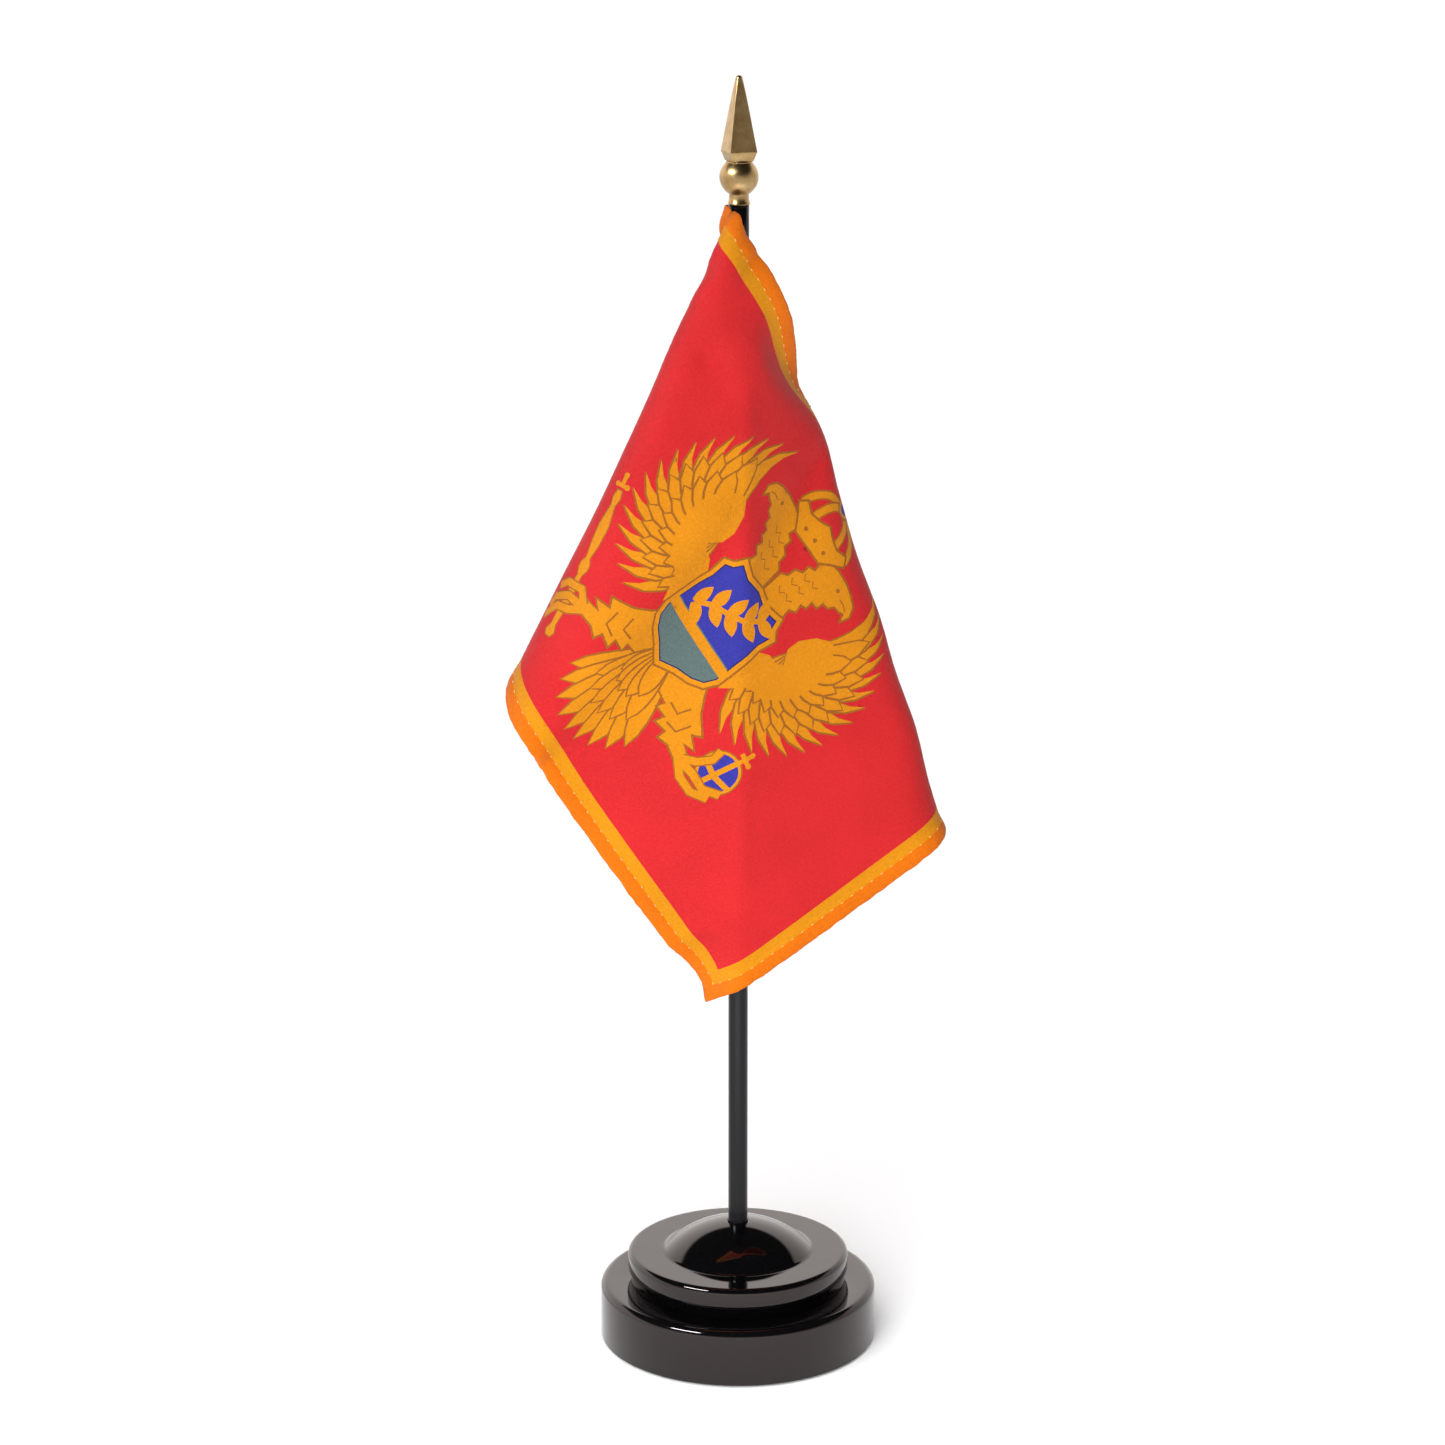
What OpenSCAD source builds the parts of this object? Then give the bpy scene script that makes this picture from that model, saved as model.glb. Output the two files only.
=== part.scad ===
// Desk flag stand: a round stepped base, a plastic staff with a gilt spear
// finial, and a small hemmed flag that hangs from the staff in one big fold.
// Millimetres, +Z up. The origin is the middle of the underside, on the staff axis.

/* [Base] */
// Diameter of the lower disc
base_d = 63; // [58:0.5:70]
// Height of the lower disc, above the desk
disc_h = 13.4; // [12:0.2:18]
// Radius of the rounded top edge of the lower disc
disc_round = 1.6; // [0.8:0.2:2.4]
// Diameter of the recessed neck between the two discs
neck_d = 49; // [44:0.5:49]
// Height of the recessed neck
neck_h = 2.8; // [2:0.2:4]
// Diameter of the upper disc
rim_d = 50.4; // [50:0.2:54]
// Height of the upper disc
rim_h = 4.6; // [4:0.2:6]
// Radius of the rounded top edge of the upper disc
rim_round = 1.2; // [0.6:0.2:1.6]
// Diameter of the dome
dome_d = 33.8; // [30:0.2:38]
// Height of the dome above the upper disc
dome_h = 6.8; // [5:0.2:9]
// Wall thickness of the two base mouldings
wall = 2.2; // [1.8:0.1:2.6]

/* [Weight and pad] */
// Thickness of the iron weight
weight_h = 4; // [3:0.5:4.5]
// Thickness of the felt pad
pad_h = 1.2; // [1:0.1:1.6]
// How far the felt pad stands out below the base
pad_proud = 0.4; // [0.2:0.1:0.6]

/* [Staff] */
// Diameter of the staff
staff_d = 4.4; // [4:0.1:5]
// Height of the top of the staff above the desk
staff_top = 260.6; // [250:0.2:270]
// Clearance of a running fit, on the radius
running_gap = 0.05; // [0.02:0.01:0.1]

/* [Finial] */
// Height of the collar that sits on the staff
collar_h = 2.3; // [2:0.1:4]
// Diameter of the ball
ball_d = 8.4; // [7:0.1:10]
// Width of the square spear, across its flats at the shoulder
spear_w = 6.15; // [5:0.05:7]
// Length of the spear, from shoulder to tip
spear_h = 16.2; // [14:0.2:20]
// Turn of the spear about the staff, in degrees
spear_turn = 20; // [0:1:45]

/* [Flag] */
// Length of the flag along its top edge
flag_fly = 149.5; // [140:0.5:160]
// Length of the flag along the staff
flag_hoist = 99; // [90:0.5:105]
// Width of the folded hem
hem_w = 5; // [4:0.5:6]
// Thickness of the single cloth
cloth_t = 0.5; // [0.4:0.1:0.8]
// Thickness of the folded hem
hem_t = 0.9; // [0.8:0.1:1.2]
// Wall of the sleeve that the staff passes through
sleeve_t = 0.4; // [0.3:0.1:0.6]

/* [Drape] */
// Compass direction in which the cloth leaves the staff, in degrees from +X
leave_dir = 153; // [145:1:160]
// Part of the corner angle taken by the wide bend behind the staff
bend_arc = 28; // [26:1:30]
// Turn of the wide bend
bend_turn = 82; // [78:1:86]
// Part of the corner angle taken by the left fold
fold_arc = 6; // [5:1:8]
// Turn of the left fold
fold_turn = 147; // [144:1:150]
// Where the right fold crosses the top edge, from the staff
roll_top = 45; // [40:1:50]
// Where the right fold crosses the fly edge, from the top edge
roll_fly = 36; // [32:1:40]
// Radius of the right fold
roll_r = 4.5; // [3:0.5:6]
// Turn of the right fold
roll_turn = 165; // [150:1:170]

/* [Hidden] */

$fn = 96;
fine = 0.01;

// Heights in the base, from the desk up
disc_top = disc_h;
neck_top = disc_top + neck_h;
rim_top = neck_top + rim_h;
dome_top = rim_top + dome_h;

// The cap drops into a round opening in the lower moulding
spigot_r = 19;
spigot_t = 2;
spigot_drop = wall + 1.6;
spigot_gap = 0.05;

// Socket that holds the staff
socket_r = staff_d / 2 + running_gap;
socket_wall = 2.6;
socket_floor = 6;
socket_end = 4.2;
staff_bottom = socket_floor + 0.2;

// Iron weight and felt pad under it
weight_r = base_d / 2 - wall - 1;
weight_bottom = pad_h;
weight_hole_r = socket_r + socket_wall + 0.3;
rib_count = 6;
rib_t = 1.6;
rib_bottom = weight_bottom + weight_h;

// Finial
pin_r = 1.1;
pin_h = 8;
pin_gap = 0.03;
collar_r = staff_d / 2;
lip_r = collar_r + 0.25;
lip_h = 0.7;
ball_r = ball_d / 2;
ball_z = staff_top + collar_h + sqrt(ball_r * ball_r - collar_r * collar_r);
ring_r = 2.85;
ring_h = 0.6;
ring_z = ball_z + sqrt(ball_r * ball_r - ring_r * ring_r) - 0.2;
under_h = 1.9;
under_w = 4.9;
shoulder_z = ring_z + ring_h + under_h;
tip_w = 1.5;
tip_r = 0.7;

// Flag: its hoist edge is sewn to a narrow tab in front of the sleeve
sleeve_r = staff_d / 2 + running_gap + sleeve_t;
flag_top = staff_top - 0.4;
tab_r = 3.6;
tab_dir = 275;
corner = [tab_r * cos(tab_dir), tab_r * sin(tab_dir), flag_top];

// The top hem's solid starts just past the corner, where the fold is too tight for it
hem_start = 4;

// Cells of the cloth between its hems
cols = 34;
rows = 22;

// ---- Drape of the flag ----
// A point of the flat flag is [s, t]: s runs along the top edge from the staff,
// and t runs down from it. Left of the right fold the cloth is a cone whose
// point is the top corner at the staff: every ray from that corner stays
// straight. ray_table walks the rays' directions round from the staff, and turns
// them at the wide bend and at the left fold.

ray_n = 90;
ray_step = 90 / ray_n;

function turn_at(a) =
    a < bend_arc ? bend_turn / bend_arc :
    a < bend_arc + fold_arc ? fold_turn / fold_arc : 0;

function walk(i, along, side) =
    i > ray_n ? [] :
    let (
        turn = turn_at((i + 0.5) * ray_step) * ray_step,
        turned = side * cos(turn) - cross(along, side) * sin(turn),
        next_along = along * cos(ray_step) + turned * sin(ray_step),
        next_side = turned * cos(ray_step) - along * sin(ray_step)
    )
    concat([[along, side]], walk(i + 1, next_along, next_side));

ray_table = walk(0, [0, 0, -1], [cos(leave_dir), sin(leave_dir), 0]);

function mix(a, b, f) = a * (1 - f) + b * f;

// Direction k (0 along the ray, 1 across it) at corner angle a
function ray(a, k) =
    let (
        x = min(max(a / ray_step, 0), ray_n - fine),
        i = floor(x)
    )
    mix(ray_table[i][k], ray_table[i + 1][k], x - i);

// The right fold rolls the cloth backwards round a straight line
roll_vec = [flag_fly - roll_top, roll_fly];
roll_across = [roll_vec[1], -roll_vec[0]] / norm(roll_vec);
roll_len = roll_r * roll_turn * PI / 180;

function rolled(s, t) =
    let (
        d = [s - roll_top, t] * roll_across,
        bent = min(max(d, 0), roll_len),
        phi = bent / roll_r * 180 / PI,
        rest = max(d - roll_len, 0),
        forward = roll_r * sin(phi) + rest * cos(roll_turn),
        back = roll_r * (1 - cos(phi)) + rest * sin(roll_turn),
        shift = d > 0 ? forward - d : 0
    )
    [s + roll_across[0] * shift, t + roll_across[1] * shift, back];

function drape(s, t) =
    let (
        p = rolled(s, t),
        a = 90 - atan2(p[1], p[0]),
        along = ray(a, 0),
        away = cross(ray(a, 1), along)
    )
    corner + norm([p[0], p[1]]) * along + p[2] * away;

function cloth_normal(s, t) =
    let (
        here = drape(s, t),
        across = cross(drape(s + fine, t) - here, drape(s, t + fine) - here)
    )
    across / norm(across);

// A strip of draped cloth as one closed solid, from [s0, t0] to [s1, t1]
module strip(s0, t0, s1, t1, columns, lines, thick) {
    wide = lines + 1;
    side_n = (columns + 1) * wide;
    spots = [
        for (h = [-thick / 2, thick / 2])
            for (i = [0:columns])
                for (j = [0:lines])
                    let (
                        s = mix(s0, s1, i / columns),
                        t = mix(t0, t1, j / lines)
                    )
                    drape(s, t) + h * cloth_normal(s, t)
    ];
    function at(i, j) = i * wide + j;
    skins = [
        for (i = [0:columns - 1])
            for (j = [0:lines - 1])
                for (f = [
                    [at(i, j), at(i, j + 1), at(i + 1, j + 1)],
                    [at(i, j), at(i + 1, j + 1), at(i + 1, j)],
                    [side_n + at(i + 1, j + 1), side_n + at(i, j + 1), side_n + at(i, j)],
                    [side_n + at(i + 1, j), side_n + at(i + 1, j + 1), side_n + at(i, j)]
                ])
                f
    ];
    rim_path = concat(
        [for (i = [0:columns]) at(i, 0)],
        [for (j = [1:lines]) at(columns, j)],
        [for (i = [1:columns]) at(columns - i, lines)],
        [for (j = [1:lines - 1]) at(0, lines - j)]
    );
    rim_n = len(rim_path);
    edges = [
        for (k = [0:rim_n - 1])
            let (
                a = rim_path[k],
                b = rim_path[(k + 1) % rim_n]
            )
            for (f = [[a, b, side_n + b], [a, side_n + b, side_n + a]])
                f
    ];
    polyhedron(points = spots, faces = concat(skins, edges), convexity = 6);
}

// ---- Base ----

// Lower disc: a hollow moulding, open below, with a round opening on top
module base_shell() {
    r = base_d / 2;
    color("#141416")
    union() {
        difference() {
            rotate_extrude()
                union() {
                    translate([0, pad_proud])
                        square([r, disc_top - disc_round - pad_proud]);
                    translate([0, pad_proud])
                        square([r - disc_round, disc_top - pad_proud]);
                    translate([r - disc_round, disc_top - disc_round])
                        circle(r = disc_round);
                }
            cylinder(h = disc_top - wall, r = r - wall);
            cylinder(h = disc_top + 1, r = spigot_r);
        }
        for (i = [0:rib_count - 1])
            rotate([0, 0, i * 360 / rib_count + 30])
                translate([spigot_r + 0.4, -rib_t / 2, rib_bottom])
                    cube([r - wall / 2 - spigot_r - 0.4, rib_t, disc_top - wall / 2 - rib_bottom]);
    }
}

// Upper disc and dome: a hollow moulding with the staff socket under the dome
module base_cap() {
    rim_r = rim_d / 2;
    dome_r = dome_d / 2;
    dome_curve = (dome_r * dome_r + dome_h * dome_h) / (2 * dome_h);
    inner_curve = dome_curve - wall;
    dome_centre = dome_top - dome_curve;
    color("#101012")
    difference() {
        union() {
            rotate_extrude()
                union() {
                    translate([0, disc_top])
                        square([neck_d / 2, neck_h + 1]);
                    translate([0, neck_top])
                        square([rim_r, rim_h - rim_round]);
                    translate([0, neck_top])
                        square([rim_r - rim_round, rim_h]);
                    translate([rim_r - rim_round, rim_top - rim_round])
                        circle(r = rim_round);
                    translate([0, disc_top - spigot_drop])
                        square([spigot_r - spigot_gap, spigot_drop + 1]);
                }
            intersection() {
                translate([0, 0, dome_centre])
                    sphere(r = dome_curve);
                translate([0, 0, rim_top - 1])
                    cylinder(h = dome_h + 2, r = dome_r);
            }
        }
        difference() {
            union() {
                translate([0, 0, disc_top - spigot_drop - 1])
                    cylinder(h = spigot_drop + 1 + rim_top - wall - disc_top, r = spigot_r - spigot_t);
                intersection() {
                    translate([0, 0, dome_centre])
                        sphere(r = inner_curve);
                    translate([0, 0, rim_top - wall - 1])
                        cylinder(h = dome_h + wall, r = dome_r - wall);
                }
            }
            cylinder(h = dome_top, r = socket_r + socket_wall);
        }
        translate([0, 0, socket_floor])
            cylinder(h = dome_top, r = socket_r);
    }
    color("#101012")
    difference() {
        translate([0, 0, socket_end])
            cylinder(h = disc_top - spigot_drop - socket_end, r = socket_r + socket_wall);
        translate([0, 0, socket_floor])
            cylinder(h = dome_top, r = socket_r);
    }
}

// Iron ring glued inside the lower disc
module base_weight() {
    color("#5b5d60")
    translate([0, 0, weight_bottom])
        difference() {
            cylinder(h = weight_h, r = weight_r);
            translate([0, 0, -1])
                cylinder(h = weight_h + 2, r = weight_hole_r);
        }
}

// Felt disc let into the open underside, a little proud of it
module base_pad() {
    color("#232327")
        cylinder(h = pad_h, r = base_d / 2 - wall - 0.1);
}

// ---- Staff and finial ----

module staff() {
    chamfer = 0.5;
    color("#0f1012")
    difference() {
        rotate_extrude()
            polygon([
                [0, staff_bottom],
                [staff_d / 2 - chamfer, staff_bottom],
                [staff_d / 2, staff_bottom + chamfer],
                [staff_d / 2, staff_top],
                [0, staff_top]
            ]);
        translate([0, 0, staff_top - pin_h - 0.3])
            cylinder(h = pin_h + 1, r = pin_r + pin_gap);
    }
}

// Square frustum from half width a at the bottom to half width b at the top
module frustum(a, b, h) {
    cylinder(h = h, r1 = a * sqrt(2), r2 = b * sqrt(2), $fn = 4);
}

module finial() {
    color("#b39246")
    union() {
        translate([0, 0, staff_top - pin_h])
            cylinder(h = pin_h + 1, r = pin_r);
        translate([0, 0, staff_top])
            cylinder(h = collar_h + 1, r = collar_r);
        translate([0, 0, staff_top])
            cylinder(h = lip_h, r = lip_r);
        translate([0, 0, ball_z])
            sphere(r = ball_r);
        translate([0, 0, ring_z - 0.5])
            cylinder(h = ring_h + 0.5, r = ring_r);
        translate([0, 0, ring_z + ring_h - fine])
            rotate([0, 0, spear_turn + 45])
                frustum(under_w / 2, spear_w / 2, under_h + fine);
        translate([0, 0, shoulder_z - fine])
            rotate([0, 0, spear_turn + 45])
                frustum(spear_w / 2, tip_w / 2, spear_h - tip_r);
        translate([0, 0, shoulder_z + spear_h - tip_r - fine])
            sphere(r = tip_r);
    }
}

// ---- Flag ----

// Sewn sleeve at the hoist, a running fit on the staff
module hoist_sleeve() {
    color("#e8811c")
    translate([0, 0, flag_top - flag_hoist])
        linear_extrude(flag_hoist)
            rotate(tab_dir)
                difference() {
                    union() {
                        circle(r = sleeve_r);
                        translate([0, -cloth_t / 2])
                            square([tab_r, cloth_t]);
                    }
                    circle(r = staff_d / 2 + running_gap);
                }
}

// Printed field, inside the three hems
module flag_cloth() {
    color("#cf1f35")
    strip(0, hem_w, flag_fly - hem_w, flag_hoist - hem_w, cols, rows, cloth_t);
}

module top_hem() {
    color("#ef8a1b")
    strip(hem_start, 0, flag_fly - hem_w, hem_w, cols, 1, hem_t);
}

module fly_hem() {
    color("#ef8a1b")
    strip(flag_fly - hem_w, 0, flag_fly, flag_hoist, 1, rows + 2, hem_t);
}

module bottom_hem() {
    color("#ef8a1b")
    strip(0, flag_hoist - hem_w, flag_fly - hem_w, flag_hoist, cols, 1, hem_t);
}

base_shell();
base_cap();
base_weight();
base_pad();
staff();
finial();
hoist_sleeve();
flag_cloth();
top_hem();
fly_hem();
bottom_hem();
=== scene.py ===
"""Looks of the desk flag stand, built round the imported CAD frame.

Lengths of the object are millimetres until new_piece() scales them to metres.
The floor, the lights and the camera are placed in metres.
A point of the flat flag is (s, t): s runs along the top edge from the staff,
and t runs down from that edge.
"""

from math import acos, atan2, cos, degrees, exp, hypot, pi, radians, sin, sqrt, tau

import bpy
import numpy as np
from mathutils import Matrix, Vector
from mathutils.geometry import delaunay_2d_cdt


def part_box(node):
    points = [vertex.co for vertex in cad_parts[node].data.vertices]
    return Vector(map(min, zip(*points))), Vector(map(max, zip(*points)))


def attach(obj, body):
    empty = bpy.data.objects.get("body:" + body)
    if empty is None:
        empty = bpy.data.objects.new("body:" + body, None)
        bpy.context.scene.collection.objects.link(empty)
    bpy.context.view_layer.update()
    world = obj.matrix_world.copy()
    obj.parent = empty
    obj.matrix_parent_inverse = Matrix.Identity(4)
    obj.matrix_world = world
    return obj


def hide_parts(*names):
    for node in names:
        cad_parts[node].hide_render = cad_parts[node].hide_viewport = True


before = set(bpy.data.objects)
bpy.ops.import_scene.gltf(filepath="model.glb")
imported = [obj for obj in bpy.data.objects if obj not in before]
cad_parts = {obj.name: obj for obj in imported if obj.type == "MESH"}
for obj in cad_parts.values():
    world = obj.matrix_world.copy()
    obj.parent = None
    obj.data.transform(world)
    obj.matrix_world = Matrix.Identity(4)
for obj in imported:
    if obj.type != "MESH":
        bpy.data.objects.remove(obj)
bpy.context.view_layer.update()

MM = 0.001


# ---- Sizes that follow the frame ----

def top_of(node):
    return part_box(node)[1].z / MM


def radius_of(node):
    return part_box(node)[1].x / MM


BASE_R = radius_of("base_shell")
BASE_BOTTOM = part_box("base_shell")[0].z / MM
DISC_TOP = top_of("base_shell")
CAP_R = radius_of("base_cap")
DOME_TOP = top_of("base_cap")
PAD_R = radius_of("base_pad")
PAD_TOP = top_of("base_pad")
STAFF_R = radius_of("staff")
STAFF_TOP = top_of("staff")
STAFF_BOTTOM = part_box("staff")[0].z / MM
FINIAL_TOP = top_of("finial")
SLEEVE_TOP = top_of("hoist_sleeve")

# Base mouldings
DISC_ROUND = 1.6
RIM_ROUND = 1.2
NECK_R = CAP_R - 0.7
NECK_TOP = DISC_TOP + 2.8
RIM_TOP = NECK_TOP + 4.6
DOME_R = 16.9
WALL = 2.2
SPIGOT_R = 19.0
SPIGOT_DROP = 3.8
SOCKET_R = STAFF_R + 0.05
SOCKET_WALL = 2.6
SOCKET_END = 4.2
RIBS = 6

# Finial, from the staff up
COLLAR_H = 2.3
BALL_R = 4.2
BALL_Z = STAFF_TOP + COLLAR_H + sqrt(BALL_R ** 2 - STAFF_R ** 2)
RING_R = 2.85
RING_Z = BALL_Z + sqrt(BALL_R ** 2 - RING_R ** 2) - 0.2
RING_H = 0.6
UNDER_W = 4.9
UNDER_H = 1.9
SPEAR_W = 6.15
SPEAR_TURN = radians(20)
TIP_W = 1.5
TIP_R = 0.7

# Flag
FLY = 149.5
HOIST = 99.0
HEM = 5.0
BORDER = 6.2
HOIST_BORDER = 2.5
CLOTH_HALF = 0.13
TAB_R = 3.6
TAB_DIR = radians(240)
CORNER = np.array([TAB_R * cos(TAB_DIR), TAB_R * sin(TAB_DIR), SLEEVE_TOP])
CENTRE = np.array([FLY / 2, HOIST / 2])


# ---- Colours, given as 0-255 screen values ----

def linear(*screen):
    """Linear colour of a red, green and blue screen colour."""
    values = [value / 255 for value in screen]
    return (*(v / 12.92 if v <= 0.04045 else ((v + 0.055) / 1.055) ** 2.4 for v in values), 1.0)


INKS = {
    "red": linear(170, 29, 32),
    "border": linear(180, 115, 8),
    # The hem's deeper orange is partly the double layer of cloth and partly painted shade of the fold
    "hem": linear(186, 91, 2),
    "gold": linear(180, 113, 12),
    "line": linear(128, 76, 22),
    "blue": linear(43, 43, 129),
    "navy": linear(28, 32, 70),
    "teal": linear(75, 91, 90),
}


# ---- Mesh helpers ----

def polar(r, angle):
    return r * cos(angle), r * sin(angle)


def turned(x, y, angle):
    return x * cos(angle) - y * sin(angle), x * sin(angle) + y * cos(angle)


def new_object(name, data):
    made = bpy.data.objects.new(name, data)
    bpy.context.collection.objects.link(made)
    return made


def new_piece(name, verts, faces, body, slot, material, replaces=()):
    """Makes a mesh piece from millimetre points and ties it to its body."""
    mesh = bpy.data.meshes.new(name)
    mesh.from_pydata([tuple(float(c) * MM for c in v) for v in verts], [], faces)
    mesh.validate()
    mesh.update()
    mesh.polygons.foreach_set("use_smooth", [True] * len(mesh.polygons))
    mesh.materials.append(material)
    piece = new_object(name, mesh)
    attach(piece, body)
    if replaces:
        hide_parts(*replaces)
    return piece


def join_meshes(parts):
    """Joins (verts, faces) pairs into one pair."""
    verts = []
    faces = []
    for part_verts, part_faces in parts:
        start = len(verts)
        verts.extend(part_verts)
        faces.extend([tuple(i + start for i in f) for f in part_faces])
    return verts, faces


def band(rings, count, closed=False, capped=False):
    """Quads between successive rings of count points."""
    faces = []
    for k in range(rings if closed else rings - 1):
        a = k * count
        b = ((k + 1) % rings) * count
        for i in range(count):
            j = (i + 1) % count
            faces.append((a + i, a + j, b + j, b + i))
    if capped:
        last = (rings - 1) * count
        faces.append(tuple(range(count - 1, -1, -1)))
        faces.append(tuple(range(last, last + count)))
    return faces


def lathe(profile, segments=256, closed=False):
    """Turns (radius, height) points round the Z axis. Open ends are capped."""
    verts = []
    for r, z in profile:
        for i in range(segments):
            verts.append((*polar(r, tau * i / segments), z))
    return verts, band(len(profile), segments, closed, capped=not closed)


def arc(centre_r, centre_z, radius, start, end, steps=8):
    """Points of a round edge, with angles in degrees."""
    points = []
    for k in range(steps + 1):
        across, up = polar(radius, radians(start + (end - start) * k / steps))
        points.append((centre_r + across, centre_z + up))
    return points


def box_mesh(size, centre, turn):
    """A plain box, turned about the Z axis."""
    verts = []
    for x in (-0.5, 0.5):
        for y in (-0.5, 0.5):
            for z in (-0.5, 0.5):
                place = turned(centre[0] + x * size[0], centre[1] + y * size[1], turn)
                verts.append((*place, centre[2] + z * size[2]))
    faces = [(0, 1, 3, 2), (4, 6, 7, 5), (0, 4, 5, 1), (2, 3, 7, 6), (0, 2, 6, 4), (1, 5, 7, 3)]
    return verts, faces


# ---- Material helpers ----

def new_node(tree, kind, inputs=None, **settings):
    """Adds a shader node. An input is a value, or a socket to link from."""
    made = tree.nodes.new(kind)
    for key, value in settings.items():
        setattr(made, key, value)
    for key, value in (inputs or {}).items():
        if isinstance(value, bpy.types.NodeSocket):
            tree.links.new(value, made.inputs[key])
        else:
            made.inputs[key].default_value = value
    return made


class Look:
    """A Principled material and short ways to build its nodes."""

    def __init__(self, name, **sockets):
        """Sockets are set by name, with _ for a space."""
        self.material = bpy.data.materials.new(name)
        self.material.use_nodes = True
        self.tree = self.material.node_tree
        self.shader = self.tree.nodes["Principled BSDF"]
        for key, value in sockets.items():
            self.shader.inputs[key.replace("_", " ")].default_value = value

    def feed(self, **sockets):
        """Links values to the shader's sockets."""
        for key, value in sockets.items():
            self.tree.links.new(value, self.shader.inputs[key.replace("_", " ")])

    def coords(self, *stretch):
        """Object coordinates in millimetres, stretched per axis."""
        scaled = new_node(self.tree, "ShaderNodeMapping", {
            "Vector": new_node(self.tree, "ShaderNodeTexCoord").outputs["Object"],
            "Scale": tuple(s / MM for s in stretch or (1, 1, 1)),
        })
        return scaled.outputs["Vector"]

    def noise(self, vector, scale, detail=4.0, rough=0.5):
        inputs = {"Vector": vector, "Scale": scale, "Detail": detail, "Roughness": rough}
        return new_node(self.tree, "ShaderNodeTexNoise", inputs).outputs["Fac"]

    def waves(self, vector, pitch, distortion, axis):
        inputs = {"Vector": vector, "Scale": WAVE_UNIT / pitch, "Distortion": distortion}
        inputs.update({"Detail": 1.0, "Detail Scale": 1.5})
        return new_node(self.tree, "ShaderNodeTexWave", inputs, bands_direction=axis).outputs["Fac"]

    def span(self, value, low, high, start=0.0, end=1.0):
        return span(self.tree, value, low, high, start, end)

    def add(self, a, b):
        return math_node(self.tree, "ADD", a, b)

    def mix(self, factor, a, b, blend="MIX"):
        settings = {"data_type": "RGBA", "blend_type": blend}
        return new_node(self.tree, "ShaderNodeMix", {0: factor, 6: a, 7: b}, **settings).outputs[2]

    def bump(self, height, distance, strength):
        """Puts a height, in millimetres times distance, on the shader."""
        inputs = {"Height": height, "Distance": distance * MM, "Strength": strength}
        self.feed(Normal=new_node(self.tree, "ShaderNodeBump", inputs).outputs["Normal"])


def span(tree, value, low, high, start=0.0, end=1.0):
    """Maps start..end of a value to low..high."""
    inputs = {"Value": value, "From Min": start, "From Max": end, "To Min": low, "To Max": high}
    return new_node(tree, "ShaderNodeMapRange", inputs).outputs["Result"]


def math_node(tree, operation, a, b):
    return new_node(tree, "ShaderNodeMath", {0: a, 1: b}, operation=operation).outputs[0]


# ---- Materials ----

# Scale of a wave texture with one band per millimetre
WAVE_UNIT = 0.314
# Spacing of the knit's columns of loops, and that of its rows as a share of it
KNIT = 0.42
ROW_SHARE = 0.8


def gloss_black(name, colour):
    """Polished moulded plastic: faint flow waves, dust and hairline scratches."""
    look = Look(name, IOR=1.5, Specular_Tint=(1.0, 0.86, 0.82, 1.0))
    place = look.coords()
    smudge = look.noise(place, 0.12, 3.0)
    dust = look.span(look.noise(place, 2.6, 2.0), 0.0, 1.0, 0.66, 0.76)
    hair = look.noise(look.coords(1, 14, 1), 0.9, 6.0, 0.6)
    scratches = look.span(hair, 0.0, 0.05, 0.6, 0.8)
    look.feed(
        Base_Color=look.mix(dust, colour, linear(30, 29, 30)),
        Roughness=look.add(look.span(smudge, 0.03, 0.09, 0.35, 0.7), scratches),
    )
    flow = look.add(look.noise(place, 0.16, 1.0), look.span(hair, 0.0, 0.012, 0.6, 0.75))
    look.bump(flow, 0.05, 0.5)
    return look.material


def satin_black():
    """Extruded black staff: fine draw lines along its length."""
    look = Look("satin_black", IOR=1.49, Specular_IOR_Level=0.25)
    lines = look.noise(look.coords(6, 6, 0.06), 1.2, 5.0, 0.6)
    blotch = look.noise(look.coords(), 0.15, 3.0)
    look.feed(
        Base_Color=look.mix(lines, linear(4, 4, 6), linear(13, 12, 15)),
        Roughness=look.add(look.span(lines, 0.12, 0.24), look.span(blotch, -0.03, 0.05)),
    )
    look.bump(lines, 0.02, 0.6)
    return look.material


def gilt():
    """Metallised gold plastic, lightly brushed along the spear, dulled in patches."""
    look = Look("gilt", Metallic=1.0)
    brush = look.noise(look.coords(5, 5, 0.35), 1.3, 6.0, 0.62)
    patch = look.span(look.noise(look.coords(), 0.45, 4.0, 0.6), 0.0, 1.0, 0.3, 0.7)
    pits = look.noise(look.coords(), 5.5, 2.0)
    warm = look.mix(patch, linear(184, 158, 112), linear(158, 126, 80))
    worn = look.span(brush, 0.0, 0.45, 0.45, 0.75)
    look.feed(
        Base_Color=look.mix(worn, warm, linear(134, 106, 70)),
        Roughness=look.add(look.span(brush, 0.23, 0.36), look.span(pits, 0.0, 0.12, 0.55, 0.75)),
    )
    look.bump(look.add(brush, look.span(pits, 0.0, -0.6, 0.6, 0.8)), 0.03, 0.55)
    return look.material


def felt():
    """Pressed felt: matted fibres."""
    look = Look("black_felt", Roughness=0.95, Sheen_Weight=0.35, Sheen_Roughness=0.6)
    fibre = look.noise(look.coords(1, 3, 2), 3.2, 8.0, 0.75)
    look.feed(Base_Color=look.mix(fibre, linear(18, 18, 21), linear(58, 57, 62)))
    look.bump(fibre, 0.35, 0.9)
    return look.material


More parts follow.
